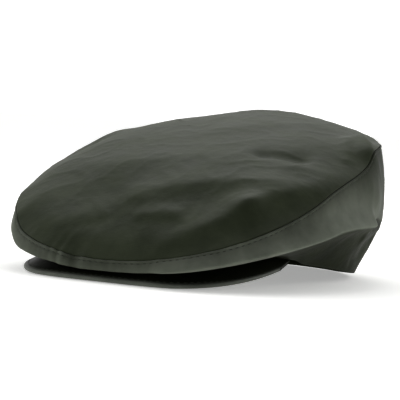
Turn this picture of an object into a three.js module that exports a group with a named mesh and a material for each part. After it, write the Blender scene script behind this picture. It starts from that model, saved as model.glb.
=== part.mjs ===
import * as THREE from 'three';

// A flat rain cap of waxed cotton in millimetres, lying on its peak and the back of its hem.
// +Z is up, the front of the cap is towards -Y, and the wearer's left is +X.
// The origin is on the surface it lies on, below the middle of its bounding box.
// Angles go round the cap in degrees, from 0 at the front over 90 at the wearer's left.

const wall = 2; // doubled waxed cotton
const gap = 0.3; // between two pieces that are sewn together
const steps = { round: 88, top: 11, sideUpper: 5, sideLower: 5, peakAcross: 48, peakDeep: 5 };
const topCrowding = 0.8; // below 1, the top panel's rows crowd towards the seam

// The seam that joins the top and side panels. It is an egg shape seen from above, blunt in front,
// and climbs from low over the peak to the back, steeply at first.
const seam = {
  middleY: -5, halfWidth: 110, frontLength: 130, backLength: 140, frontPower: 2.6, backPower: 2,
  frontZ: 15.5, backZ: 104, steepness: 1.63,
};
const dome = { height: 17.3, power: 2.9 }; // how far the top panel swells above its seam
const nearSeam = { sag: 4, folds: 8 }; // powers: how late the sag sets in and the folds fade

// The head opening: 590 mm round inside, its front held up by the peak, its back flat on the surface.
const opening = {
  middleY: 23, halfWidth: 91, halfLength: 100, power: 2.1,
  frontZ: 21, flatFrom: 0.92, easing: 1.2, // height falls to 0 at this part of the length
};

// Sections of the side panel round the cap, the same on the left and the right. sag is how far the
// seam hangs below its even climb, drop its height above the hanging fold, foldOut how far the fold
// stands outside the seam, belly the swell between them, and softness the reach of the bend there.
const sections = [
  { angle: 0, sag: 1.5, drop: 7, foldOut: 2, belly: 3, softness: 1.8 },
  { angle: 30, sag: -0.3, drop: 10.3, foldOut: 2.5, belly: 2, softness: 1.8 },
  { angle: 60, sag: 1.5, drop: 18, foldOut: 2.5, belly: 1, softness: 2 },
  { angle: 90, sag: 1, drop: 31, foldOut: 3.5, belly: 3, softness: 2 },
  { angle: 120, sag: 0.5, drop: 49, foldOut: 4.5, belly: 5, softness: 3 },
  { angle: 150, sag: 0, drop: 57, foldOut: 3, belly: 6, softness: 10 },
  { angle: 180, sag: 0, drop: 61, foldOut: 1.5, belly: 6, softness: 15 },
];

// Folds and dents of the top panel, seen from above. A fold runs from one point to another, bends
// sideways by bend at its middle, and is left and right wide on the two sides of that line.
// rise is its height, negative for a hollow, and atSeam the part of it that reaches the seam.
const topFolds = [
  { name: 'long ridge, back half', from: [118, -20], to: [76, -86], bend: -2, left: 7, right: 15, rise: 8, atSeam: 0.2 },
  { name: 'long ridge, front half', from: [76, -86], to: [38, -124], bend: 2, left: 7, right: 12, rise: 5.5, atSeam: 0.2 },
  { name: 'bulge over the front seam', from: [-76, -104], to: [14, -127], bend: -6, left: 20, right: 8, rise: 4.5, atSeam: 0.2 },
  { name: 'broad swell of the middle', from: [-30, -50], to: [60, -22], bend: 0, left: 26, right: 24, rise: 2, atSeam: 0 },
  { name: 'step across the front', from: [2, -86], to: [72, -56], bend: 2, left: 18, right: 10, rise: 3.2, atSeam: 0 },
  { name: 'small step before the ridge', from: [12, -104], to: [32, -101], bend: 0, left: 9, right: 4, rise: 2, atSeam: 0 },
  { name: 'front right dent', from: [-36, -94], to: [-26, -88], bend: 0, left: 12, right: 12, rise: -0.8, atSeam: 0 },
  { name: 'front right crumple', from: [-30, -118], to: [-14, -112], bend: 0, left: 4, right: 9, rise: -1.3, atSeam: 0.3 },
  { name: 'dent at the back left', from: [52, -20], to: [74, -14], bend: 0, left: 9, right: 7, rise: -3, atSeam: 0 },
  { name: 'ridge beside that dent', from: [80, -26], to: [98, -20], bend: 0, left: 8, right: 8, rise: 1.2, atSeam: 0 },
  { name: 'crease over the middle', from: [12, 26], to: [46, 58], bend: 2, left: 20, right: 10, rise: 1, atSeam: 0 },
  { name: 'shoulder above the seam', from: [90, 52], to: [106, 32], bend: 0, left: 6, right: 9, rise: 8, atSeam: 0.3 },
  { name: 'fold before the shoulder', from: [82, 40], to: [98, 12], bend: 0, left: 4, right: 4, rise: 1.6, atSeam: 0.3 },
  { name: 'seam raised under the shoulder', from: [108, 36], to: [104, 64], bend: 0, left: 14, right: 14, rise: 4, atSeam: 1 },
  { name: 'seam raised at the front right', from: [-56, -122], to: [-38, -130], bend: 0, left: 12, right: 12, rise: 1.2, atSeam: 1 },
  { name: 'peak of the crown', from: [-6, 90], to: [14, 102], bend: 0, left: 20, right: 20, rise: 3, atSeam: 0 },
  { name: 'slack at the back', from: [66, 104], to: [94, 64], bend: 0, left: 16, right: 16, rise: -3, atSeam: 0.4 },
  { name: 'knob on the far shoulder', from: [-98, 26], to: [-92, 38], bend: 0, left: 8, right: 10, rise: 2, atSeam: 0.4 },
  { name: 'notch before the knob', from: [-106, -6], to: [-99, 14], bend: 0, left: 9, right: 9, rise: -3, atSeam: 0.3 },
  { name: 'seam raised at the far front', from: [-100, -76], to: [-86, -100], bend: 0, left: 16, right: 16, rise: 3.2, atSeam: 1 },
  { name: 'swell of the far front', from: [-96, -44], to: [-80, -84], bend: 0, left: 20, right: 18, rise: 2.6, atSeam: 0.2 },
  { name: 'slack of the far shoulder', from: [-88, 56], to: [-52, 96], bend: 0, left: 14, right: 18, rise: -3, atSeam: 0 },
];

// Folds and dents of the side panel, by the angle and height of their ends, pushed outwards by rise.
const sideFolds = [
  { name: 'flare of the hanging fold', from: [20, 9], to: [100, 41], bend: 6, left: 8, right: 4, rise: 6.5 },
  { name: 'hollow under the seam', from: [34, 22], to: [60, 42], bend: 0, left: 6, right: 6, rise: -2 },
  { name: 'swell at the back left', from: [100, 74], to: [106, 60], bend: 0, left: 12, right: 14, rise: 2.5 },
  { name: 'crease of the tucked cloth', from: [119, 36], to: [100, 31], bend: 0, left: 3, right: 4, rise: 1.6 },
  { name: 'dent below that crease', from: [117, 28], to: [100, 14], bend: 0, left: 6, right: 7, rise: -2 },
  { name: 'flare of the far fold', from: [-84, 35], to: [-106, 44], bend: 0, left: 6, right: 9, rise: 6 },
  { name: 'far side dent', from: [-82, 58], to: [-98, 54], bend: 0, left: 9, right: 10, rise: -3 },
  { name: 'far side swell', from: [-120, 70], to: [-130, 54], bend: 0, left: 14, right: 14, rise: 2 },
  { name: 'back dent', from: [170, 66], to: [176, 58], bend: 0, left: 14, right: 12, rise: -2.5 },
];
const degreeLength = 2; // mm round the side panel for each degree
const foldForm = { round: 0.7, power: 1.5 }; // how blunt a fold's crest is, and how its sides fall
const sideBreak = 135; // angles of the side panel run from minus this on, where it has no fold

// The stiffened peak. Its outer edge starts at the head opening on each side, and crown is its swell
// as a part of its depth.
const peak = {
  cornerAngle: 58, cornerTrim: 2, frontY: -138.3, power: 3.6, easing: 0.66, crown: 0.01,
  thickness: 2.8, cornerThickness: 1.6, flatFrom: 0.95, // this near to the front it lies on the surface
  seatEase: 6, // degrees past its corner over which the side panel's edge steps up onto the peak
};

const colours = { topPanel: 0x3e4138, sidePanel: 0x41443b, peak: 0x2f322b };

const radians = THREE.MathUtils.degToRad;
const mix = THREE.MathUtils.lerp;
const up = new THREE.Vector3(0, 0, 1);

// Radius of an oval at an angle, for half axes and a power that is 2 for an ellipse
function ovalRadius(angle, halfWidth, halfLength, power) {
  const across = Math.abs(Math.sin(radians(angle))) / halfWidth;
  const along = Math.abs(Math.cos(radians(angle))) / halfLength;
  return (across ** power + along ** power) ** (-1 / power);
}

function seamRadius(angle) {
  const forward = Math.cos(radians(angle));
  const halfLength = forward > 0 ? seam.frontLength : seam.backLength;
  return ovalRadius(angle, seam.halfWidth, halfLength, mix(seam.backPower, seam.frontPower, (1 + forward) / 2));
}

// Height of one fold at a place, in the plane that its ends are given in
function foldHeight(fold, x, y, scaleX = 1) {
  const start = new THREE.Vector2(fold.from[0] * scaleX, fold.from[1]);
  const run = new THREE.Vector2(fold.to[0] * scaleX, fold.to[1]).sub(start);
  const length = run.length();
  run.divideScalar(length);
  const place = new THREE.Vector2(x, y).sub(start);
  const along = place.dot(run);
  const part = THREE.MathUtils.clamp(along / length, 0, 1);
  const across = run.cross(place) - 4 * fold.bend * part * (1 - part);
  const beyond = along - part * length;
  const width = across > 0 ? fold.left : fold.right;
  const reach = (fold.left + fold.right) / 2;
  const away = Math.hypot(across, foldForm.round) - foldForm.round;
  return fold.rise * Math.exp(-((away / width) ** foldForm.power) - (beyond / reach) ** 2);
}

// The row of sections at an angle, by a smooth curve through the rows
function sectionAt(angle) {
  const spacing = sections[1].angle;
  const place = Math.abs(THREE.MathUtils.euclideanModulo(angle + 180, 360) - 180) / spacing;
  const last = sections.length - 1;
  const first = Math.min(Math.floor(place), last - 1);
  const t = place - first;
  const row = (index) => sections[last - Math.abs(last - Math.abs(index))];
  const section = {};
  for (const name of ['sag', 'drop', 'foldOut', 'belly', 'softness']) {
    const [a, b, c, d] = [-1, 0, 1, 2].map((offset) => row(first + offset)[name]);
    section[name] = b + t * (c - a + t * (2 * a - 5 * b + 4 * c - d + t * (3 * (b - c) + d - a))) / 2;
  }
  return section;
}

// A point of the top panel, from 0 at its middle to 1 at the seam
function topPoint(angle, out) {
  const radius = out * seamRadius(angle);
  const x = radius * Math.sin(radians(angle));
  const y = seam.middleY - radius * Math.cos(radians(angle));
  const length = (y - seam.middleY + seam.frontLength) / (seam.frontLength + seam.backLength);
  const climb = seam.steepness * length + (1 - seam.steepness) * length ** 2;
  let z = mix(seam.frontZ, seam.backZ, climb) + dome.height * (1 - out ** dome.power);
  z -= sectionAt(angle).sag * out ** nearSeam.sag;
  for (const fold of topFolds) z += foldHeight(fold, x, y) * mix(1, fold.atSeam, out ** nearSeam.folds);
  return new THREE.Vector3(x, y, z);
}

function rimPoint(angle) {
  const radius = ovalRadius(angle, opening.halfWidth, opening.halfLength, opening.power);
  const x = radius * Math.sin(radians(angle));
  const y = -radius * Math.cos(radians(angle));
  const length = (y / opening.halfLength + 1) / 2;
  const z = opening.frontZ * Math.max(0, 1 - length / opening.flatFrom) ** opening.easing;
  return new THREE.Vector3(x, y + opening.middleY, z);
}

// Thickness of the peak by the angle at its root, and the lift that it gives the side panel's edge
function peakThickness(angle) {
  return mix(peak.thickness, peak.cornerThickness, Math.min(1, (angle / peak.cornerAngle) ** 4));
}

function peakSeat(angle) {
  const turn = Math.abs(THREE.MathUtils.euclideanModulo(angle + 180, 360) - 180);
  const under = 1 - THREE.MathUtils.smoothstep(turn, peak.cornerAngle + 1, peak.cornerAngle + peak.seatEase);
  return (peakThickness(turn) + gap) * under;
}

function outwardAt(angle) {
  const along = topPoint(angle + 1, 1).sub(topPoint(angle - 1, 1));
  return new THREE.Vector3(-along.y, along.x, 0).normalize().negate();
}

// Two curves down the side panel at an angle: from the seam to the fold, and from there to the rim
function sideCurves(angle) {
  const { drop, foldOut, belly, softness } = sectionAt(angle);
  const outward = outwardAt(angle);
  const top = topPoint(angle, 1);
  const rim = rimPoint(angle);
  rim.z += peakSeat(angle);
  const fold = top.clone().addScaledVector(outward, foldOut).addScaledVector(up, -drop);
  const tucked = rim.clone().sub(fold);
  const bend = fold.clone().sub(top).normalize().add(tucked.clone().normalize()).normalize();
  const upper = new THREE.CubicBezierCurve3(
    top,
    top.clone().addScaledVector(outward, belly).addScaledVector(up, -drop / 3),
    fold.clone().addScaledVector(bend, -softness),
    fold,
  );
  const lower = new THREE.CubicBezierCurve3(
    fold,
    fold.clone().addScaledVector(bend, softness),
    rim.clone().addScaledVector(tucked, -1 / 3),
    rim,
  );
  return { upper, lower, outward };
}

// Outer surface of the side panel as columns of points from the seam to the rim
function sideColumn(angle) {
  const { upper, lower, outward } = sideCurves(angle);
  const points = [...upper.getPoints(steps.sideUpper), ...lower.getPoints(steps.sideLower).slice(1)];
  const turn = THREE.MathUtils.euclideanModulo(angle + sideBreak, 360) - sideBreak;
  return points.map((point, row) => {
    const part = row / (points.length - 1);
    let push = 0;
    for (const fold of sideFolds) push += foldHeight(fold, turn * degreeLength, point.z, degreeLength);
    return point.addScaledVector(outward, push * Math.sin(Math.PI * part) ** 0.5);
  });
}

function topColumn(angle) {
  const points = [];
  for (let row = 1; row <= steps.top; row += 1) points.push(topPoint(angle, (row / steps.top) ** topCrowding));
  return points;
}

// Unit normals of a grid of points, pointing out of the cap
function gridNormals(columns) {
  const count = columns.length;
  return columns.map((column, i) => column.map((_, j) => {
    const round = columns[(i + 1) % count][j].clone().sub(columns[(i + count - 1) % count][j]);
    const down = column[Math.min(j + 1, column.length - 1)].clone().sub(column[Math.max(j - 1, 0)]);
    return down.cross(round).normalize();
  }));
}

// A closed mesh from vertices and four- or three-cornered faces
function solid(name, vertices, faces, colour) {
  const index = faces.flatMap(([a, b, c, d]) => (d === undefined ? [a, b, c] : [a, b, c, a, c, d]));
  const geometry = new THREE.BufferGeometry();
  geometry.setAttribute('position', new THREE.Float32BufferAttribute(vertices.flatMap((v) => v.toArray()), 3));
  geometry.setIndex(index);
  geometry.computeVertexNormals();
  const material = new THREE.MeshStandardMaterial({ color: colour, roughness: 0.6, metalness: 0 });
  const mesh = new THREE.Mesh(geometry, material);
  mesh.name = name;
  return mesh;
}

// Angles of the columns round the cap
const angles = Array.from({ length: steps.round }, (_, i) => (i * 360) / steps.round);
const topColumns = angles.map(topColumn);
const sideColumns = angles.map(sideColumn);
const topNormals = gridNormals(topColumns);
const sideNormals = gridNormals(sideColumns);

// At the seam both panels end on faces that lie half a gap to each side of the seam's mitre
const mitres = angles.map((_, i) => {
  const inward = topNormals[i][steps.top - 1].clone().add(sideNormals[i][0]).normalize().negate();
  const along = topColumns[(i + 1) % steps.round].at(-1).clone().sub(topColumns.at(i - 1).at(-1)).normalize();
  return { inward, towardsSide: inward.clone().cross(along).normalize() };
});

function topPanel() {
  const rows = steps.top;
  const outer = topColumns.map((column) => column.map((point) => point.clone()));
  const inner = outer.map((column, i) => column.map((point, j) => point.clone().addScaledVector(topNormals[i][j], -wall)));
  mitres.forEach(({ inward, towardsSide }, i) => {
    outer[i][rows - 1].addScaledVector(towardsSide, -gap / 2);
    inner[i][rows - 1].copy(outer[i][rows - 1]).addScaledVector(inward, wall);
  });
  const middle = topPoint(0, 0);
  const vertices = [middle, middle.clone().addScaledVector(up, -wall), ...outer.flat(), ...inner.flat()];
  const outerAt = (i, j) => 2 + (i % steps.round) * rows + j;
  const innerAt = (i, j) => outerAt(i, j) + steps.round * rows;
  const faces = [];
  for (let i = 0; i < steps.round; i += 1) {
    faces.push([0, outerAt(i, 0), outerAt(i + 1, 0)], [1, innerAt(i + 1, 0), innerAt(i, 0)]);
    for (let j = 0; j < rows - 1; j += 1) {
      faces.push([outerAt(i, j), outerAt(i, j + 1), outerAt(i + 1, j + 1), outerAt(i + 1, j)]);
      faces.push([innerAt(i, j), innerAt(i + 1, j), innerAt(i + 1, j + 1), innerAt(i, j + 1)]);
    }
    faces.push([outerAt(i, rows - 1), innerAt(i, rows - 1), innerAt(i + 1, rows - 1), outerAt(i + 1, rows - 1)]);
  }
  return solid('top_panel', vertices, faces, colours.topPanel);
}

function sidePanel() {
  const rows = steps.sideUpper + steps.sideLower + 1;
  const outer = sideColumns.map((column) => column.map((point) => point.clone()));
  const inner = outer.map((column, i) => column.map((point, j) => point.clone().addScaledVector(sideNormals[i][j], -wall)));
  mitres.forEach(({ inward, towardsSide }, i) => {
    outer[i][0].addScaledVector(towardsSide, gap / 2);
    inner[i][0].copy(outer[i][0]).addScaledVector(inward, wall);
    // The hem's lower face is level where it lies on the surface
    inner[i][rows - 1].z = Math.max(inner[i][rows - 1].z, 0);
    if (outer[i][rows - 1].z === 0) inner[i][rows - 1].z = 0;
  });
  const vertices = [...outer.flat(), ...inner.flat()];
  const outerAt = (i, j) => (i % steps.round) * rows + j;
  const innerAt = (i, j) => outerAt(i, j) + steps.round * rows;
  const faces = [];
  for (let i = 0; i < steps.round; i += 1) {
    for (let j = 0; j < rows - 1; j += 1) {
      faces.push([outerAt(i, j), outerAt(i, j + 1), outerAt(i + 1, j + 1), outerAt(i + 1, j)]);
      faces.push([innerAt(i, j), innerAt(i + 1, j), innerAt(i + 1, j + 1), innerAt(i, j + 1)]);
    }
    faces.push([outerAt(i, 0), outerAt(i + 1, 0), innerAt(i + 1, 0), innerAt(i, 0)]);
    faces.push([outerAt(i, rows - 1), innerAt(i, rows - 1), innerAt(i + 1, rows - 1), outerAt(i + 1, rows - 1)]);
  }
  return solid('side_panel', vertices, faces, colours.sidePanel);
}

// Lower edge line of the peak's outer edge, from -1 at the right corner to 1 at the left one
function peakEdge(across) {
  const corner = rimPoint(peak.cornerAngle);
  const turn = across * Math.PI / 2;
  const forward = Math.abs(Math.cos(turn)) ** (2 / peak.power);
  const lift = Math.max(0, 1 - (forward / peak.flatFrom) ** peak.easing);
  return new THREE.Vector3(
    corner.x * Math.sign(turn) * Math.abs(Math.sin(turn)) ** (2 / peak.power),
    mix(corner.y, peak.frontY, forward),
    corner.z * lift,
  );
}

function peakPiece() {
  const across = steps.peakAcross;
  const deep = steps.peakDeep;
  const cornerPart = 1 - peak.cornerTrim / 90;
  const lower = [];
  const thicknesses = [];
  for (let i = 0; i <= across; i += 1) {
    // Columns crowd towards the corners, where the edge turns fast
    const part = Math.sin(((i / across) * 2 - 1) * Math.PI / 2) * cornerPart;
    const edge = peakEdge(part);
    const root = rimPoint(part * peak.cornerAngle);
    thicknesses.push(peakThickness(part * peak.cornerAngle));
    for (let j = 0; j <= deep; j += 1) {
      const out = j / deep;
      const point = root.clone().lerp(edge, out);
      point.z += peak.crown * root.distanceTo(edge) * 4 * out * (1 - out);
      lower.push(point);
    }
  }
  const upper = lower.map((point, k) => point.clone().addScaledVector(up, thicknesses[Math.floor(k / (deep + 1))]));
  const vertices = [...upper, ...lower];
  const upperAt = (i, j) => i * (deep + 1) + j;
  const lowerAt = (i, j) => upperAt(i, j) + upper.length;
  const faces = [];
  for (let i = 0; i < across; i += 1) {
    for (let j = 0; j < deep; j += 1) {
      faces.push([upperAt(i, j), upperAt(i, j + 1), upperAt(i + 1, j + 1), upperAt(i + 1, j)]);
      faces.push([lowerAt(i, j), lowerAt(i + 1, j), lowerAt(i + 1, j + 1), lowerAt(i, j + 1)]);
    }
    faces.push([upperAt(i, 0), upperAt(i + 1, 0), lowerAt(i + 1, 0), lowerAt(i, 0)]);
    faces.push([upperAt(i, deep), lowerAt(i, deep), lowerAt(i + 1, deep), upperAt(i + 1, deep)]);
  }
  for (let j = 0; j < deep; j += 1) {
    faces.push([upperAt(0, j), lowerAt(0, j), lowerAt(0, j + 1), upperAt(0, j + 1)]);
    faces.push([upperAt(across, j), upperAt(across, j + 1), lowerAt(across, j + 1), lowerAt(across, j)]);
  }
  return solid('peak', vertices, faces, colours.peak);
}

const cap = new THREE.Group();
cap.add(topPanel(), sidePanel(), peakPiece());

export default cap;
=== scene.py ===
import math
import bpy
import numpy as np
from mathutils import Matrix, Vector, noise


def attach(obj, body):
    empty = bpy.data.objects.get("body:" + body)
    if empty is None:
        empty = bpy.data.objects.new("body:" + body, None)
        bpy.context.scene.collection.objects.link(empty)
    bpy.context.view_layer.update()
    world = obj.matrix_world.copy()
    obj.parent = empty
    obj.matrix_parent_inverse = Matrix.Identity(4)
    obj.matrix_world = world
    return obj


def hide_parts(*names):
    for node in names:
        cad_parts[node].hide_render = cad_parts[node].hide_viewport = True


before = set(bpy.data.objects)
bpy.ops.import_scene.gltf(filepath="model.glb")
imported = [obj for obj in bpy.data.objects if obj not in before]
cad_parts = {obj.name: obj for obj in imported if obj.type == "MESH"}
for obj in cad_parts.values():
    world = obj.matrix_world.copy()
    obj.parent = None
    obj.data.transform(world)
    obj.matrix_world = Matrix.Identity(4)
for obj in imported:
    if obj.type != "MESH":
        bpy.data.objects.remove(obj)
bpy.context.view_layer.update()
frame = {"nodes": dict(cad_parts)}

print("frame loaded:", ", ".join(frame["nodes"]))

# Everything about the cap's form is in millimetres, as a hat maker would note it.
# Front is -Y, up is +Z, the wearer's left is +X. Angles go round the cap in degrees
# from 0 at the front over 90 at the wearer's left.
mm = 0.001

seam = {
    "middleY": -5, "halfWidth": 110, "frontLength": 130, "backLength": 140,
    "frontPower": 2.6, "backPower": 2,  # 2 is an ellipse, more is blunter
    "frontZ": 15.5, "backZ": 104, "steepness": 1.63,
}
dome = {"height": 17.3, "power": 2.9}  # swell of the top panel above its seam

opening = {
    "middleY": 23, "halfWidth": 91, "halfLength": 100, "power": 2.1,
    "frontZ": 21, "flatFrom": 0.92, "easing": 1.2,  # its back part lies on the floor
}

# sections round the cap, left and right alike: how far the seam sags, the drop from it to
# the hanging fold, how far that fold stands out, the swell between them, how soft it bends
sectionNames = ("angle", "sag", "drop", "foldOut", "belly", "softness")
sectionRows = np.array([
    (0, 1.5, 7, 2, 3, 1.8),
    (30, -0.3, 10.3, 2.5, 2, 1.8),
    (60, 1.5, 18, 2.5, 1, 2),
    (90, 1, 31, 3.5, 3, 2),
    (120, 0.5, 49, 4.5, 5, 3),
    (150, 0, 57, 3, 6, 10),
    (180, 0, 61, 1.5, 6, 15),
], float)

peakForm = {
    "cornerAngle": 58, "cornerTrim": 2, "frontY": -138.3, "power": 3.6, "easing": 0.66,
    "crown": 0.01, "flatFrom": 0.95,
    "thickness": 2.8, "cornerThickness": 1.6, "thinning": 4,  # more keeps it thick for longer
    "gap": 0.3, "seatFrom": 1, "seatTo": 6,  # degrees past its corner where the hem comes down
}

# folds of the top panel, seen from above: they run from one point to another, bend sideways
# at the middle, are left and right wide on the two sides, and rise or, negative, sink; atSeam
# is the share of a fold that reaches the seam
foldNames = ("fromX", "fromY", "toX", "toY", "bend", "left", "right", "rise", "atSeam")
topFolds = {
    "long ridge, back half": (118, -20, 76, -86, -2, 7, 15, 8, 0.2),
    "long ridge, front half": (76, -86, 38, -124, 2, 7, 12, 5.5, 0.2),
    "bulge over the front seam": (-76, -104, 14, -127, -6, 20, 8, 4.5, 0.2),
    "broad swell of the middle": (-30, -50, 60, -22, 0, 26, 24, 2, 0),
    "step across the front": (2, -86, 72, -56, 2, 18, 10, 3.2, 0),
    "small step before the ridge": (12, -104, 32, -101, 0, 9, 4, 2, 0),
    "front right dent": (-36, -94, -26, -88, 0, 12, 12, -0.8, 0),
    "front right crumple": (-30, -118, -14, -112, 0, 4, 9, -1.3, 0.3),
    "dent at the back left": (52, -20, 74, -14, 0, 9, 7, -3, 0),
    "ridge beside that dent": (80, -26, 98, -20, 0, 8, 8, 1.2, 0),
    "crease over the middle": (12, 26, 46, 58, 2, 20, 10, 1, 0),
    "shoulder above the seam": (90, 52, 106, 32, 0, 6, 9, 8, 0.3),
    "fold before the shoulder": (82, 40, 98, 12, 0, 4, 4, 1.6, 0.3),
    "seam raised under the shoulder": (108, 36, 104, 64, 0, 14, 14, 4, 1),
    "seam raised at the front right": (-56, -122, -38, -130, 0, 12, 12, 1.2, 1),
    "peak of the crown": (-6, 90, 14, 102, 0, 20, 20, 3, 0),
    "slack at the back": (66, 104, 94, 64, 0, 16, 16, -3, 0.4),
    "knob on the far shoulder": (-98, 26, -92, 38, 0, 8, 10, 2, 0.4),
    "notch before the knob": (-106, -6, -99, 14, 0, 9, 9, -3, 0.3),
    "seam raised at the far front": (-100, -76, -86, -100, 0, 16, 16, 3.2, 1),
    "swell of the far front": (-96, -44, -80, -84, 0, 20, 18, 2.6, 0.2),
    "slack of the far shoulder": (-88, 56, -52, 96, 0, 14, 18, -3, 0),
}
# folds of the side panel, by angle and height, pushed outwards
sideFolds = {
    "flare of the hanging fold": (20, 9, 100, 41, 6, 8, 4, 6.5, 1),
    "hollow under the seam": (34, 22, 60, 42, 0, 6, 6, -2, 1),
    "swell at the back left": (100, 74, 106, 60, 0, 12, 14, 2.5, 1),
    "crease of the tucked cloth": (119, 36, 100, 31, 0, 3, 4, 1.6, 1),
    "dent below that crease": (117, 28, 100, 14, 0, 6, 7, -2, 1),
    "flare of the far fold": (-84, 35, -106, 44, 0, 6, 9, 6, 1),
    "far side dent": (-82, 58, -98, 54, 0, 9, 10, -3, 1),
    "far side swell": (-120, 70, -130, 54, 0, 14, 14, 2, 1),
    "back dent": (170, 66, 176, 58, 0, 14, 12, -2.5, 1),
}
foldForm = {"round": 0.7, "power": 1.5}  # mm of bluntness of a crest, and how steep it falls off
nearSeam = {"sag": 4, "folds": 8}  # more keeps the sag, or the loss of folds, closer to the seam
degreeLength = 2  # mm round the side panel for each degree
sideBreak = 135  # angle on the far side where the layout of the side panel's folds is cut open
curveSteps = 81  # points on each half of a column of the side panel


def unit(v):
    return v / np.linalg.norm(v, axis=-1, keepdims=True)


def smooth(value, low, high):
    t = np.clip((value - low) / (high - low), 0, 1)
    return t * t * (3 - 2 * t)


# 1 on a line, falling off to both sides
def bell(distance, width):
    return np.exp(-(distance / width) ** 2)


# angle between -180 and 180
def fromFront(angle):
    return (np.asarray(angle, float) + 180) % 360 - 180


def lengthsAlong(line):
    return np.concatenate([[0], np.cumsum(np.linalg.norm(np.diff(line, axis=0), axis=1))])


# values along a line, given its lengths, at the places asked for
def valuesAt(places, lengths, values):
    return np.stack([np.interp(places, lengths, values[:, k]) for k in range(3)], -1)


def ovalRadius(angle, halfWidth, halfLength, power):
    turn = np.radians(angle)
    across = np.abs(np.sin(turn)) / halfWidth
    along = np.abs(np.cos(turn)) / halfLength
    return (across ** power + along ** power) ** (-1 / power)


def seamRadius(angle):
    forward = np.cos(np.radians(angle))
    halfLength = np.where(forward > 0, seam["frontLength"], seam["backLength"])
    power = seam["backPower"] + (seam["frontPower"] - seam["backPower"]) * (1 + forward) / 2
    return ovalRadius(angle, seam["halfWidth"], halfLength, power)


# smooth curve through the section rows
def sectionAt(angle):
    turn = np.abs(fromFront(angle))
    spacing = sectionRows[1, 0]
    last = len(sectionRows) - 1
    first = np.minimum((turn / spacing).astype(int), last - 1)
    t = (turn / spacing - first)[..., None]
    # the rows go on mirrored past both ends
    a, b, c, d = (sectionRows[last - np.abs(last - np.abs(first + k))] for k in (-1, 0, 1, 2))
    values = b + t * (c - a + t * (2 * a - 5 * b + 4 * c - d + t * (3 * (b - c) + d - a))) / 2
    return {name: values[..., k] for k, name in enumerate(sectionNames)}


def foldHeights(folds, x, y, scaleX=1.0, reach=1.0):
    total = np.zeros(np.broadcast(x, y).shape)
    for row in folds.values():
        f = dict(zip(foldNames, row))
        start = np.array([f["fromX"] * scaleX, f["fromY"]])
        run = np.array([f["toX"] * scaleX, f["toY"]]) - start
        length = np.hypot(*run)
        run = run / length
        px, py = x - start[0], y - start[1]
        along = px * run[0] + py * run[1]
        part = np.clip(along / length, 0, 1)
        across = run[0] * py - run[1] * px - 4 * f["bend"] * part * (1 - part)
        beyond = along - part * length
        width = np.where(across > 0, f["left"], f["right"])
        end = (f["left"] + f["right"]) / 2
        away = np.sqrt(across ** 2 + foldForm["round"] ** 2) - foldForm["round"]
        shape = np.exp(-(away / width) ** foldForm["power"] - (beyond / end) ** 2)
        total += f["rise"] * shape * (1 + (f["atSeam"] - 1) * reach)
    return total


# points of the top panel, out from 0 at its middle to 1 at the seam
def topPoints(angle, out):
    angle, out = np.broadcast_arrays(np.asarray(angle, float), np.asarray(out, float))
    radius = out * seamRadius(angle)
    x = radius * np.sin(np.radians(angle))
    y = seam["middleY"] - radius * np.cos(np.radians(angle))
    wholeLength = seam["frontLength"] + seam["backLength"]
    length = (y - seam["middleY"] + seam["frontLength"]) / wholeLength
    climb = seam["steepness"] * length + (1 - seam["steepness"]) * length ** 2
    z = seam["frontZ"] + (seam["backZ"] - seam["frontZ"]) * climb
    z = z + dome["height"] * (1 - out ** dome["power"])
    z = z - sectionAt(angle)["sag"] * out ** nearSeam["sag"]
    z = z + foldHeights(topFolds, x, y, reach=out ** nearSeam["folds"])
    return np.stack([x, y, z], -1)


# points of the head opening's rim
def rimPoints(angle):
    radius = ovalRadius(angle, opening["halfWidth"], opening["halfLength"], opening["power"])
    x = radius * np.sin(np.radians(angle))
    y = -radius * np.cos(np.radians(angle))
    length = (y / opening["halfLength"] + 1) / 2
    z = opening["frontZ"] * np.maximum(0, 1 - length / opening["flatFrom"]) ** opening["easing"]
    return np.stack([x, y + opening["middleY"], z], -1)


def peakThickness(angle):
    part = np.minimum(1, (angle / peakForm["cornerAngle"]) ** peakForm["thinning"])
    return peakForm["thickness"] + (peakForm["cornerThickness"] - peakForm["thickness"]) * part


# how far the peak lifts the hem that is sewn on top of it
def peakSeat(angle):
    turn = np.abs(fromFront(angle))
    past = turn - peakForm["cornerAngle"]
    share = 1 - smooth(past, peakForm["seatFrom"], peakForm["seatTo"])
    return (peakThickness(turn) + peakForm["gap"]) * share


def outwardAt(angle):
    along = topPoints(angle + 1, 1.0) - topPoints(angle - 1, 1.0)
    return unit(np.stack([along[..., 1], -along[..., 0], 0 * along[..., 0]], -1))


def bezier(points, t):
    a, b, c, d = points
    return a * (1 - t) ** 3 + 3 * b * t * (1 - t) ** 2 + 3 * c * t ** 2 * (1 - t) + d * t ** 3


# points down one column of the side panel, and its curve parameter: 0 seam, 1 fold, 2 rim
def sideCurve(angle):
    section = sectionAt(angle)
    outward, up = outwardAt(angle), np.array([0.0, 0, 1])
    top, rim = topPoints(angle, 1.0), rimPoints(angle)
    rim[2] += peakSeat(angle)
    fold = top + outward * section["foldOut"] - up * section["drop"]
    tucked = rim - fold
    bend = unit(unit(fold - top) + unit(tucked))
    soft = bend * section["softness"]
    upper = (top, top + outward * section["belly"] - up * section["drop"] / 3, fold - soft, fold)
    lower = (fold, fold + soft, rim - tucked / 3, rim)
    t = np.linspace(0, 1, curveSteps)[:, None]
    points = np.concatenate([bezier(upper, t), bezier(lower, t)[1:]])
    param = np.concatenate([t[:, 0], 1 + t[1:, 0]])
    place = ((angle + sideBreak) % 360 - sideBreak) * degreeLength
    push = foldHeights(sideFolds, place, points[:, 2], degreeLength)
    push = push * np.sqrt(np.sin(np.pi * param / 2))  # none at the seam and the rim
    return points + outward * push[:, None], param


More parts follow.
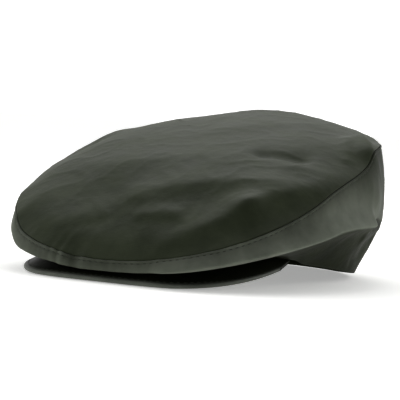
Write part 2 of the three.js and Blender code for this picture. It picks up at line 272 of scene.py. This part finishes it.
# lower line of the peak's outer edge, from -1 at the right corner to 1 at the left one
def peakEdge(across):
    corner = rimPoints(peakForm["cornerAngle"])
    turn = across * np.pi / 2
    forward = np.abs(np.cos(turn)) ** (2 / peakForm["power"])
    lift = np.maximum(0, 1 - (forward / peakForm["flatFrom"]) ** peakForm["easing"])
    x = corner[0] * np.sign(turn) * np.abs(np.sin(turn)) ** (2 / peakForm["power"])
    y = corner[1] + (peakForm["frontY"] - corner[1]) * forward
    return np.stack([x, y, corner[2] * lift], -1)


# linear colour of an sRGB hex value
def srgb(hexColour):
    parts = [int(hexColour[k:k + 2], 16) / 255 for k in (0, 2, 4)]
    return [p / 12.92 if p <= 0.04045 else ((p + 0.055) / 1.055) ** 2.4 for p in parts] + [1]


# adds a node, sets its settings and inputs, and links inputs to (node, output) pairs
def addNode(tree, kind, links=(), **settings):
    node = tree.nodes.new(kind)
    for name, value in settings.items():
        if hasattr(node, name):
            setattr(node, name, value)
        else:
            node.inputs[name.replace("_", " ")].default_value = value
    for name, (source, output) in dict(links).items():
        tree.links.new(source.outputs[output], node.inputs[name])
    return node


# camera where the photograph was taken from, told by its place round a point on the floor
cameraSet = {
    "floorPoint": (0, -0.005, 0), "distance": 1.4, "azimuth": 28, "elevation": 4.9,
    "roll": 3.46, "lens": 186.5, "aimRight": -0.0016, "aimUp": 0.0488,
}


def makeCamera():
    azimuth, elevation = (math.radians(cameraSet[k]) for k in ("azimuth", "elevation"))
    level = math.cos(elevation)
    back = Vector((math.sin(azimuth) * level, -math.cos(azimuth) * level, math.sin(elevation)))
    right = Vector((math.cos(azimuth), math.sin(azimuth), 0))
    up = back.cross(right)
    floorPoint = Vector(cameraSet["floorPoint"])
    place = floorPoint + back * cameraSet["distance"]
    aim = floorPoint + right * cameraSet["aimRight"] + up * cameraSet["aimUp"]
    facing = (aim - place).to_track_quat("-Z", "Y").to_matrix()
    roll = Matrix.Rotation(math.radians(cameraSet["roll"]), 3, "Z")
    camera = bpy.data.objects.new("camera", bpy.data.cameras.new("camera"))
    camera.data.lens = cameraSet["lens"]
    camera.location = place
    camera.rotation_euler = (facing @ roll).to_euler()
    bpy.context.collection.objects.link(camera)
    bpy.context.scene.camera = camera


# soft studio: a glowing white floor before a bright back wall, with round lights high at the
# back and the front and low at three sides; left and right are those of the picture
lightSet = [
    {"name": "highBack", "at": (-0.65, 1.05, 1.5), "size": 1.3, "power": 7},
    {"name": "highFrontLeft", "at": (-0.38, -1.23, 1.53), "size": 1.3, "power": 2},
    {"name": "lowLeft", "at": (-1.66, -0.88, 0.45), "size": 1.3, "power": 6},
    {"name": "lowFront", "at": (0.7, -1.92, 0.37), "size": 1.3, "power": 4},
    {"name": "lowBackRight", "at": (1.25, 1.45, 0.6), "size": 1.3, "power": 5},
]
studioSet = {
    "aim": (0, 0, 0.05),
    "wallLevel": 1.25, "wallAzimuth": 205, "wallHeight": 20, "wallEdge": 0.9, "roomLevel": 0.17,
    "floorColour": "f2f2f0", "floorGlow": 0.46, "floorRoughness": 0.9, "floorSize": 12,
    "gamma": 0.72,  # below 1 deepens the shades, as in the photograph
}


def makeLights():
    for row in lightSet:
        light = bpy.data.lights.new(row["name"], "AREA")
        light.shape = "DISK"
        light.size = row["size"]
        light.energy = row["power"]
        lamp = bpy.data.objects.new(row["name"], light)
        lamp.location = row["at"]
        facing = Vector(studioSet["aim"]) - lamp.location
        lamp.rotation_euler = facing.to_track_quat("-Z", "Y").to_euler()
        bpy.context.collection.objects.link(lamp)


def makeRoom():
    world = bpy.data.worlds.new("studio")
    world.use_nodes = True
    tree = world.node_tree
    direction = addNode(tree, "ShaderNodeTexCoord")
    towards = addNode(tree, "ShaderNodeVectorMath", {0: (direction, "Generated")},
                      operation="DOT_PRODUCT")
    azimuth, height = (math.radians(studioSet[k]) for k in ("wallAzimuth", "wallHeight"))
    level = math.cos(height)
    wallSide = (math.sin(azimuth) * level, -math.cos(azimuth) * level, math.sin(height))
    towards.inputs[1].default_value = wallSide
    glow = addNode(tree, "ShaderNodeMapRange", {"Value": (towards, "Value")},
                   From_Min=0, From_Max=studioSet["wallEdge"],
                   To_Min=studioSet["roomLevel"], To_Max=studioSet["wallLevel"])
    tree.links.new(glow.outputs["Result"], tree.nodes["Background"].inputs["Strength"])
    tree.nodes["Background"].inputs["Color"].default_value = (1, 1, 1, 1)
    bpy.context.scene.world = world


# white acrylic sheet lit from below: even and matt, so it melts into the bright wall
def makeFloor():
    bpy.ops.mesh.primitive_plane_add(size=studioSet["floorSize"])
    floor = bpy.context.object
    floor.name = "floor"
    paint = bpy.data.materials.new("lit white acrylic floor")
    paint.use_nodes = True
    shader = paint.node_tree.nodes["Principled BSDF"]
    shader.inputs["Base Color"].default_value = srgb(studioSet["floorColour"])
    shader.inputs["Roughness"].default_value = studioSet["floorRoughness"]
    shader.inputs["Emission Color"].default_value = (1, 1, 1, 1)
    shader.inputs["Emission Strength"].default_value = studioSet["floorGlow"]
    floor.data.materials.append(paint)


def makeStudio():
    makeLights()
    makeRoom()
    makeFloor()
    bpy.context.scene.view_settings.view_transform = "Standard"
    bpy.context.scene.view_settings.gamma = studioSet["gamma"]


# dark olive-grey waxed cotton: a dense weave filled with wax, so it is dull with a soft satin
# gleam, mottled where the wax lies thinner and pale grey where the mesh asks for a painted
# highlight
waxedCottonSet = {
    "colour": "434a38", "ior": 1.5, "specular": 0.2, "roughness": 0.5, "roughnessSpread": 0.08,
    "waxThin": "545b48", "patch": 26, "thinFrom": 0.35, "thinTo": 0.7,  # mm, and noise levels
    "highlightColour": "979c91", "highlightFrom": 0.3, "highlightTo": 0.6, "highlightLeast": 0.7,  # painted highlight colour and levels, by the mesh's share of it
    "crumple": 8, "crumpleDepth": 0.3,  # mm
    "thread": 0.9, "threadDepth": 0.03,  # mm, drawn coarser than the real threads, 0.45 mm apart
}


def waxedCotton(name, **changes):
    s = {**waxedCottonSet, **changes}
    material = bpy.data.materials.new(name)
    material.use_nodes = True
    tree = material.node_tree
    shader = tree.nodes["Principled BSDF"]
    shader.inputs["IOR"].default_value = s["ior"]
    shader.inputs["Specular IOR Level"].default_value = s["specular"]
    place = addNode(tree, "ShaderNodeTexCoord")
    cloth = addNode(tree, "ShaderNodeAttribute", attribute_name="clothPlace")
    paintedHighlight = addNode(tree, "ShaderNodeAttribute", attribute_name="paintedHighlight")

    patches = addNode(tree, "ShaderNodeTexNoise", {"Vector": (place, "Object")},
                      Scale=1 / (s["patch"] * mm), Detail=6, Roughness=0.6)
    thin = addNode(tree, "ShaderNodeMapRange", {"Value": (patches, "Fac")},
                   From_Min=s["thinFrom"], From_Max=s["thinTo"])
    blend = addNode(tree, "ShaderNodeMix", {"Factor": (thin, "Result")}, data_type="RGBA")
    blend.inputs["A"].default_value = srgb(s["colour"])
    blend.inputs["B"].default_value = srgb(s["waxThin"])

    uneven = addNode(tree, "ShaderNodeMapRange", {"Value": (patches, "Fac")},
                     From_Min=s["highlightFrom"], From_Max=s["highlightTo"], To_Min=s["highlightLeast"])
    # painted highlight: pale colour mixed in by the mesh's share
    highlightShare = addNode(tree, "ShaderNodeMath", {0: (paintedHighlight, "Fac"), 1: (uneven, "Result")},
                      operation="MULTIPLY")
    highlighted = addNode(tree, "ShaderNodeMix", {"Factor": (highlightShare, "Value"), "A": (blend, "Result")},
                     data_type="RGBA")
    highlighted.inputs["B"].default_value = srgb(s["highlightColour"])
    tree.links.new(highlighted.outputs["Result"], shader.inputs["Base Color"])

    gleam = addNode(tree, "ShaderNodeMapRange", {"Value": (patches, "Fac")},
                    To_Min=s["roughness"] - s["roughnessSpread"],
                    To_Max=s["roughness"] + s["roughnessSpread"])
    tree.links.new(gleam.outputs["Result"], shader.inputs["Roughness"])

    crumple = addNode(tree, "ShaderNodeTexNoise", {"Vector": (place, "Object")},
                      Scale=1 / (s["crumple"] * mm), Detail=4, Roughness=0.55)
    soft = addNode(tree, "ShaderNodeBump", {"Height": (crumple, "Fac")},
                   Strength=1, Distance=s["crumpleDepth"] * mm)
    threads = []
    for direction in ("X", "Y"):
        # a wave texture of scale 1 repeats every pi / 10
        threads.append(addNode(tree, "ShaderNodeTexWave", {"Vector": (cloth, "Vector")},
                               bands_direction=direction, Scale=math.pi / (10 * s["thread"] * mm)))
    weave = addNode(tree, "ShaderNodeMath", {0: (threads[0], "Fac"), 1: (threads[1], "Fac")},
                    operation="MULTIPLY")
    fine = addNode(tree, "ShaderNodeBump", {"Height": (weave, "Value"), "Normal": (soft, "Normal")},
                   Strength=1, Distance=s["threadDepth"] * mm)
    tree.links.new(fine.outputs["Normal"], shader.inputs["Normal"])
    return material


# the top panel is a square grid pulled out to an egg, so it has no crowded middle; the side
# panel is columns of rows, as many as the top panel's points at the seam
grain = {
    "rings": 60,
    "seamRows": (0, 0.2, 0.5, 0.9, 1.3, 1.8, 2.4, 3, 3.8, 5),  # mm from the seam
    "foldRows": 24, "foldCrowding": 1.3, "tuckRows": 20, "tuckCrowding": 1.5,
    "hemRows": (15, 13.2, 12.4, 11.6, 10, 7, 4),  # mm from the rim
    "hemArc": (30, 60, 90, 120, 150),  # degrees round the folded edge of the hem
}
columns = 8 * grain["rings"]
columnAngles = np.arange(columns) * 360 / columns


# normals at the points of a surface of quads
def normalsOf(points, quads):
    corners = points.reshape(-1, 3)
    a, b, c, d = (corners[quads[:, k]] for k in range(4))
    flat = np.cross(c - a, d - b)
    total = np.zeros_like(corners)
    for k in range(4):
        np.add.at(total, quads[:, k], flat)
    return unit(total).reshape(points.shape)


# clothPlace is each point's place on the flat cloth, the last argument how strongly a pale painted
# highlight is laid on it
def makeMesh(name, points, faces, clothPlace=None, paintedHighlight=None):
    mesh = bpy.data.meshes.new(name)
    mesh.from_pydata([tuple(p) for p in points * mm], [], [tuple(map(int, f)) for f in faces])
    mesh.validate()
    mesh.shade_smooth()
    if clothPlace is not None:
        place = mesh.attributes.new("clothPlace", "FLOAT_VECTOR", "POINT")
        place.data.foreach_set("vector", (clothPlace * mm).astype(np.float32).ravel())
    if paintedHighlight is not None:
        highlighted = mesh.attributes.new("paintedHighlight", "FLOAT", "POINT")
        highlighted.data.foreach_set("value", paintedHighlight.astype(np.float32).ravel())
    piece = bpy.data.objects.new(name, mesh)
    bpy.context.collection.objects.link(piece)
    return piece


# quads between neighbouring rows of points, given as rows of indices that close on themselves
def bandQuads(rows):
    quads = []
    for a, b in zip(rows, rows[1:]):
        quads.append(np.stack([a, b, np.roll(b, -1), np.roll(a, -1)], -1))
    return np.concatenate(quads)


# slow swells and two sizes of short creases of stiff waxed cloth, in mm along the normal
crumpleSet = {
    "swell": 34, "swellHeight": 0.7, "crease": 20, "creaseHeight": 0.3, "creaseAt": (7, 3, 1),
    "fine": 9, "fineHeight": 0.11, "fineAt": (2, 9, 5), "sharpness": 3,
    "topShift": 0, "sideShift": 40,  # mm in the noise, so the two panels differ
    "topFade": 25, "seamFade": 14, "rimFade": 25, "foldFrom": 1, "foldTo": 12,  # mm from edges
}


def crumples(points, shift):
    heights = []
    for p in points.reshape(-1, 3):
        v = Vector(p) + Vector((shift, 0, 0))
        swell = noise.noise(v / crumpleSet["swell"])
        crease = 1 - 2 * abs(noise.noise(v / crumpleSet["crease"] + Vector(crumpleSet["creaseAt"])))
        fine = 1 - 2 * abs(noise.noise(v / crumpleSet["fine"] + Vector(crumpleSet["fineAt"])))
        height = swell * crumpleSet["swellHeight"]
        height += max(crease, 0) ** crumpleSet["sharpness"] * crumpleSet["creaseHeight"]
        height += max(fine, 0) ** crumpleSet["sharpness"] * crumpleSet["fineHeight"]
        heights.append(height)
    return np.reshape(heights, points.shape[:-1])


# where the panels meet, both roll in to the seam line; the side panel is topstitched
seamLook = {
    "roll": 0.7, "turnIn": 3, "gap": 0.2, "ridge": 0.45, "ridgeAt": 1.1, "ridgeWidth": 0.7,
    "stitchRow": 6, "stitchSink": 0.3, "stitchWidth": 0.5,
    "degreeLength": 2.1, "pucker": 0.2, "puckerLength": 4, "puckerReach": 8,
    "frontPucker": 1.4, "frontAngle": -12, "frontWidth": 7,
    "insideAt": 0.97, "belowRow": 4,  # where the panels' slopes at the seam are taken
}
# mm of cloth: one layer, where it is turned in at the seam, and folded over at the hem
wall = {
    "cloth": 1.4, "allowance": 2.2, "allowanceWidth": 9, "hem": 2.4, "hemWidth": 12, "step": 0.8,
}


# how far the cloth has rolled in at a distance from the seam
def rollAt(distance):
    left = np.clip(seamLook["roll"] - distance, 0, None)
    return seamLook["roll"] - np.sqrt(seamLook["roll"] ** 2 - left ** 2)


# small gathers across the seam, stronger where the front strip was eased in
def puckers(angle, distance):
    turn = fromFront(angle)
    pace = seamLook["degreeLength"] / seamLook["puckerLength"]
    # the two shares keep clear of the noise's own grid, where it is 0
    wave = [noise.noise(Vector((t * pace, 0.3, 0.7))) for t in turn.ravel()]
    front = bell(turn - seamLook["frontAngle"], seamLook["frontWidth"])
    strength = seamLook["pucker"] + seamLook["frontPucker"] * front
    return np.reshape(wave, turn.shape) * strength * np.exp(-distance / seamLook["puckerReach"])


# directions at the seam: into the cap between both panels, and across from top to side panel
def seamMitre():
    top = topPoints(columnAngles, 1.0)
    along = unit(np.roll(top, -1, 0) - np.roll(top, 1, 0))
    outOverTop = top - topPoints(columnAngles, seamLook["insideAt"])
    below = np.array([sideCurve(a)[0][seamLook["belowRow"]] for a in columnAngles])
    inward = -unit(unit(np.cross(outOverTop, along)) + unit(np.cross(below - top, along)))
    return inward, unit(np.cross(inward, along))


def thicknessAt(distance, main, edge, edgeWidth):
    return main + (edge - main) * (1 - smooth(distance, edgeWidth, edgeWidth + wall["step"]))


# grid of the top panel: angle and reach of its points, its quads, and its rows at the seam
def topGrid():
    rings, seamRows = grain["rings"], grain["seamRows"]
    steps = np.arange(-rings, rings + 1)
    u, v = (c.ravel() for c in np.meshgrid(steps, steps))
    ring = np.maximum(np.abs(u), np.abs(v))
    side = np.select([v == -ring, u == ring, v == ring], [0, 1, 2], 3)
    offset = np.choose(side, [u, v, -u, -v])
    angle = 90 * side + 45 * offset / np.maximum(ring, 1)
    out = ring / rings * (1 - seamRows[-1] / seamRadius(angle))
    number = np.arange(len(u)).reshape(len(steps), -1)
    quads = np.stack([number[:-1, :-1], number[:-1, 1:], number[1:, 1:], number[1:, :-1]], -1)
    edge = np.flatnonzero(ring == rings)
    rows = [edge[np.argsort(angle[edge] % 360, kind="stable")]]
    for k, distance in enumerate(seamRows[-2::-1]):
        rows.append(len(u) + k * columns + np.arange(columns))
        angle = np.append(angle, columnAngles)
        out = np.append(out, 1 - distance / seamRadius(columnAngles))
    return angle, out, np.concatenate([quads.reshape(-1, 4), bandQuads(rows)]), rows


def makeTopPanel(inward, towardsSide):
    angle, out, quads, rows = topGrid()
    distance = (1 - out) * seamRadius(angle)
    outer = topPoints(angle, out)
    heights = crumples(outer, crumpleSet["topShift"]) * smooth(distance, 0, crumpleSet["topFade"])
    heights += puckers(angle, distance)
    outer = outer + normalsOf(outer, quads) * heights[:, None]
    rim = np.concatenate(rows[1:])
    column = np.tile(np.arange(columns), len(rows) - 1)
    outer[rim] += inward[column] * rollAt(distance[rim])[:, None]
    outer[rows[-1]] -= towardsSide * seamLook["gap"] / 2
    normals = normalsOf(outer, quads)
    turned = 1 - smooth(distance[rim], 0, seamLook["turnIn"])[:, None]
    normals[rim] = unit(normals[rim] * (1 - turned) - inward[column] * turned)
    deep = thicknessAt(distance, wall["cloth"], wall["allowance"], wall["allowanceWidth"])
    inner = outer - normals * deep[:, None]
    count = len(outer)
    join = [(b, a, a + count, b + count) for a, b in zip(rows[-1], np.roll(rows[-1], -1))]
    faces = [*quads, *(quads[:, ::-1] + count), *join]
    points = np.concatenate([outer, inner])
    return makeMesh("top_panel_cloth", points, faces, points * (1, 1, 0))


# painted shade: the side panel's cloth is coloured darker and given less gleam, for the cloth
# tucked under and out of the light
sideClothPaintedShade = {"colour": "272c1d", "waxThin": "373d2a", "specular": 0.07, "roughness": 0.46}
backSeam = {"width": 0.9, "depth": 0.8}  # a shallow groove down the centre back
hemStitchRow = -3  # third row up from the rim, 7 mm from it

# where the side panel gets a pale painted highlight, for the light on the strip by the hanging
# fold: mm above and below that fold, and shares by the angle from the front, least over the peak
# and less again on the far side
foldHighlight = {
    "above": 30, "below": 1.5, "least": 0.44, "leastAt": -8, "side": 0.84, "sideAngle": 50,
    "fadeFrom": 90, "fadeTo": 140, "farLess": 0.5, "farFrom": 20, "farTo": 60,
    "crests": 1.2, "seamLess": 0.15, "seamFrom": 2, "seamTo": 12,
}


# outer rows of the side panel: (rows, columns, 3) points, and how far they are from the seam,
# the rim and, counted upwards, the hanging fold
def sideRows():
    points, fromSeam, fromRim, fromFold = [], [], [], []
    seamRows, hemRows = np.array(grain["seamRows"]), np.array(grain["hemRows"])
    toFold = 1 - (1 - np.linspace(0, 1, grain["foldRows"] + 1)[1:]) ** grain["foldCrowding"]
    toHem = np.linspace(0, 1, grain["tuckRows"] + 1)[1:-1] ** grain["tuckCrowding"]
    for angle in columnAngles:
        curve, param = sideCurve(angle)
        lengths = lengthsAlong(curve)
        foldAt, end = np.interp(1, param, lengths), lengths[-1]
        above = seamRows[-1] + (foldAt - seamRows[-1]) * toFold
        below = foldAt + (end - hemRows[0] - foldAt) * toHem
        lowest = end - wall["hem"] / 2
        places = np.concatenate([seamRows, above, below, end - hemRows, [lowest]])
        points.append(valuesAt(places, lengths, curve))
        fromSeam.append(places)
        fromRim.append(end - places)
        fromFold.append(foldAt - places)
    return (np.swapaxes(np.array(x), 0, 1) for x in (points, fromSeam, fromRim, fromFold))


# small forms of the side panel: crumples, gathers, the ridge beside the seam, the sunk line
# of its stitches and the groove of the back seam
def sideHeights(outer, angle, fromSeam, fromRim, fromFold):
    fade = smooth(fromSeam, 0, crumpleSet["seamFade"]) * smooth(fromRim, 0, crumpleSet["rimFade"])
    fade *= smooth(np.abs(fromFold), crumpleSet["foldFrom"], crumpleSet["foldTo"])
    heights = crumples(outer, crumpleSet["sideShift"]) * fade
    heights += puckers(angle, fromSeam)
    heights += seamLook["ridge"] * bell(fromSeam - seamLook["ridgeAt"], seamLook["ridgeWidth"])
    stitchAt = grain["seamRows"][seamLook["stitchRow"]]
    heights -= seamLook["stitchSink"] * bell(fromSeam - stitchAt, seamLook["stitchWidth"])
    heights -= backSeam["depth"] * bell((angle - 180) * degreeLength, backSeam["width"])
    return heights


# painted highlight: a pale band along the hanging fold, mostly above it, where the light falls
def sidePaintedHighlight(angle, fromSeam, fromFold):
    turn = fromFront(angle)
    paintedHighlight = bell(fromFold, np.where(fromFold > 0, foldHighlight["above"], foldHighlight["below"]))
    towardsBack = smooth(np.abs(turn), foldHighlight["fadeFrom"], foldHighlight["fadeTo"])
    farSide = smooth(-turn, foldHighlight["farFrom"], foldHighlight["farTo"])
    strength = foldHighlight["side"] * (1 - towardsBack) * (1 - foldHighlight["farLess"] * farSide)
    aside = smooth(np.abs(turn - foldHighlight["leastAt"]), 0, foldHighlight["sideAngle"])
    paintedHighlight *= foldHighlight["least"] + (strength - foldHighlight["least"]) * aside
    atSeam = 1 - smooth(fromSeam, foldHighlight["seamFrom"], foldHighlight["seamTo"])
    paintedHighlight *= 1 - foldHighlight["seamLess"] * atSeam
    return paintedHighlight * (1 + foldHighlight["crests"] * puckers(angle, fromSeam))


# the side panel, and the lines and normals of the stitches at its seam and its hem
def makeSidePanel(inward, towardsSide):
    outer, fromSeam, fromRim, fromFold = sideRows()
    rows = len(outer)
    angle = np.tile(columnAngles, (rows, 1))
    quads = bandQuads(np.arange(rows * columns).reshape(rows, columns))
    heights = sideHeights(outer, angle, fromSeam, fromRim, fromFold)
    outer = outer + normalsOf(outer, quads) * heights[..., None]
    outer += inward * rollAt(fromSeam)[..., None]
    outer[0] += towardsSide * seamLook["gap"] / 2
    normals = normalsOf(outer, quads)

    turned = 1 - smooth(fromSeam, 0, seamLook["turnIn"])[..., None]
    through = unit(normals * (1 - turned) - inward * turned)
    deep = thicknessAt(fromSeam, wall["cloth"], wall["allowance"], wall["allowanceWidth"])
    deep = np.maximum(deep, thicknessAt(fromRim, wall["cloth"], wall["hem"], wall["hemWidth"]))
    inner = outer - through * deep[..., None]
    down = unit(outer[-1] - outer[-2])
    middle = (outer[-1] + inner[-1]) / 2
    reach = wall["hem"] / 2
    hem = [middle + normals[-1] * reach * math.cos(a) + down * reach * math.sin(a)
           for a in np.radians(grain["hemArc"])]

    rings = np.concatenate([outer, np.array(hem), inner[::-1]])
    total = len(rings)
    number = np.arange(total * columns).reshape(total, columns)
    faces = bandQuads([*number, number[0]])
    across = np.concatenate([fromSeam, np.repeat(fromSeam[-1:], len(hem), 0), fromSeam[::-1]])
    around = np.tile(fromFront(columnAngles) * degreeLength, (total, 1))
    place = np.stack([around, across, 0 * across], -1)
    inside = np.zeros((total - rows, columns))
    # painted highlight along the hanging fold, none on the cloth's inside
    paintedHighlight = np.concatenate([sidePaintedHighlight(angle, fromSeam, fromFold), inside])
    piece = makeMesh("side_panel_cloth", rings.reshape(-1, 3), faces, place.reshape(-1, 3), paintedHighlight)
    stitchRow = seamLook["stitchRow"]
    seamLine = (outer[stitchRow], normals[stitchRow])
    hemLine = (inner[hemStitchRow], -normals[hemStitchRow])
    return piece, seamLine, hemLine


# in mm: its edge is painted pale, a painted highlight, almost to its stitches, and these start
# where the peak is deep enough for them
peakLook = {
    "across": 150, "deep": 40, "crowding": 0.7, "edgeArc": (25, 55, 90, 125, 155), "highlighted": 1.8,
    "stitchAt": 4, "stitchWidth": 0.5, "stitchSink": 0.35, "stitchFrom": 10,
}
# the peak's cloth: nearly black, painted shade for the peak in the crown's shadow, smoother, and
# grey at its edge, a painted highlight
peakClothPaintedLight = {
    "colour": "25291e", "waxThin": "313527", "specular": 0.25, "roughness": 0.42, "highlightColour": "7c8078",
}


# the peak: sections from its root over the stitched edge and back below
def makePeak():
    trim = 1 - peakForm["cornerTrim"] / 90
    part = np.sin(np.linspace(-1, 1, peakLook["across"]) * np.pi / 2) * trim
    edge, root = peakEdge(part), rimPoints(part * peakForm["cornerAngle"])
    depth = np.linalg.norm(edge - root, axis=1)
    thick = peakThickness(part * peakForm["cornerAngle"])
    up = np.array([0, 0, 1.0])
    stitches = {"upper": [], "lower": []}
    sections, paintedHighlight = [], []
    for i in range(len(part)):
        reach = thick[i] / 2
        run = depth[i] - reach
        out = np.linspace(0, 1, peakLook["deep"]) ** peakLook["crowding"] * run / depth[i]
        line = root[i] + (edge[i] - root[i]) * out[:, None]
        line[:, 2] += peakForm["crown"] * depth[i] * 4 * out * (1 - out)
        fromEdge = (1 - out) * depth[i]
        groove = bell(fromEdge - peakLook["stitchAt"], peakLook["stitchWidth"])
        sink = peakLook["stitchSink"] * groove
        upper = line + up * (thick[i] - sink)[:, None]
        lower = line + up * sink[:, None]
        middle = (upper[-1] + lower[-1]) / 2
        ahead = unit((edge[i] - root[i]) * (1, 1, 0))
        arc = [middle + up * reach * math.cos(a) + ahead * reach * math.sin(a)
               for a in np.radians(peakLook["edgeArc"])]
        sections.append(np.concatenate([upper, arc, lower[::-1]]))
        # painted highlight along the peak's edge
        highlighted = 1 - smooth(fromEdge, peakLook["highlighted"], peakLook["stitchAt"])
        paintedHighlight.append(np.concatenate([highlighted, np.ones(len(arc)), highlighted[::-1]]))
        if depth[i] > peakLook["stitchFrom"]:
            for name, row in (("upper", upper), ("lower", lower)):
                stitches[name].append(valuesAt(-peakLook["stitchAt"], -fromEdge, row))
    count, size = len(sections), len(sections[0])
    number = np.arange(count * size).reshape(count, size)
    faces = [*bandQuads(number)[:, ::-1], number[0], number[-1][::-1]]
    points = np.concatenate(sections)
    piece = makeMesh("peak_cloth", points, faces, points * (1, 1, 0), np.concatenate(paintedHighlight))
    lines = [(np.array(stitches["upper"]), up), (np.array(stitches["lower"]), -up)]
    return piece, lines


# short rounded stitches along a line, sunk at both ends
stitchSet = {
    "length": 3.1, "pitch": 4.2, "start": 0.1, "radius": 0.32, "endRadius": 0.45, "lift": 0.12,
    "sides": 6, "rings": 5, "colour": "45493e", "roughness": 0.45,
}


# sewing thread of waxed polyester in the cloth's colour, a little paler and smoother
def threadMaterial():
    material = bpy.data.materials.new("tonal sewing thread")
    material.use_nodes = True
    shader = material.node_tree.nodes["Principled BSDF"]
    shader.inputs["Base Color"].default_value = srgb(stitchSet["colour"])
    shader.inputs["Roughness"].default_value = stitchSet["roughness"]
    return material


def makeStitches(name, lines):
    sides, rings = stitchSet["sides"], stitchSet["rings"]
    bow = np.sin(np.linspace(0, np.pi, rings))
    radius = stitchSet["radius"] * (stitchSet["endRadius"] + (1 - stitchSet["endRadius"]) * bow)
    height = (stitchSet["lift"] + stitchSet["radius"]) * bow - stitchSet["radius"]
    points, faces = [], []
    for line, normals, closed in lines:
        normals = np.broadcast_to(normals, line.shape)
        if closed:
            line, normals = np.vstack([line, line[:1]]), np.vstack([normals, normals[:1]])
        lengths = lengthsAlong(line)
        count = int(lengths[-1] // stitchSet["pitch"])
        pitch = lengths[-1] / count
        for k in range(count):
            start = (k + stitchSet["start"]) * pitch
            places = start + np.linspace(0, 1, rings) * stitchSet["length"]
            centre = valuesAt(places, lengths, line)
            normal = unit(valuesAt(places, lengths, normals))
            across = np.cross(unit(np.gradient(centre, axis=0)), normal)
            centre = centre + normal * height[:, None]
            number = len(points) + np.arange(rings * sides).reshape(rings, sides)
            for ring in range(rings):
                for a in np.arange(sides) * 2 * np.pi / sides:
                    way = across[ring] * math.cos(a) + normal[ring] * math.sin(a)
                    points.append(centre[ring] + way * radius[ring])
            faces += [*bandQuads(number)[:, ::-1], number[0], number[-1][::-1]]
    return makeMesh(name, np.array(points), faces)


def settle(piece, node, material):
    piece.data.materials.append(material)
    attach(piece, "root")
    if node:
        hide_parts(node)


makeCamera()
makeStudio()
print("camera and studio made")

inward, towardsSide = seamMitre()
topPanel = makeTopPanel(inward, towardsSide)
settle(topPanel, "top_panel", waxedCotton("waxed cotton, top"))
print("top panel made")

sidePanel, seamLine, hemLine = makeSidePanel(inward, towardsSide)
# painted shade: a darker copy of the waxed cotton for the side panel
shadedSideCloth = waxedCotton("waxed cotton, side, painted shade", **sideClothPaintedShade)
settle(sidePanel, "side_panel", shadedSideCloth)
print("side panel made")

peakPiece, peakLines = makePeak()
# painted shade on the peak, with a painted highlight at its edge
settle(peakPiece, "peak", waxedCotton("waxed cotton, peak, painted shade and edge highlight", **peakClothPaintedLight))
print("peak made")

thread = threadMaterial()
seamStitches = makeStitches("seam_stitches", [(*seamLine, True)])
settle(seamStitches, None, thread)
hemStitches = makeStitches("hem_stitches", [(*hemLine, True)])
settle(hemStitches, None, thread)
peakStitches = makeStitches("peak_stitches", [(line, normal, False) for line, normal in peakLines])
settle(peakStitches, None, thread)
print("stitches made")
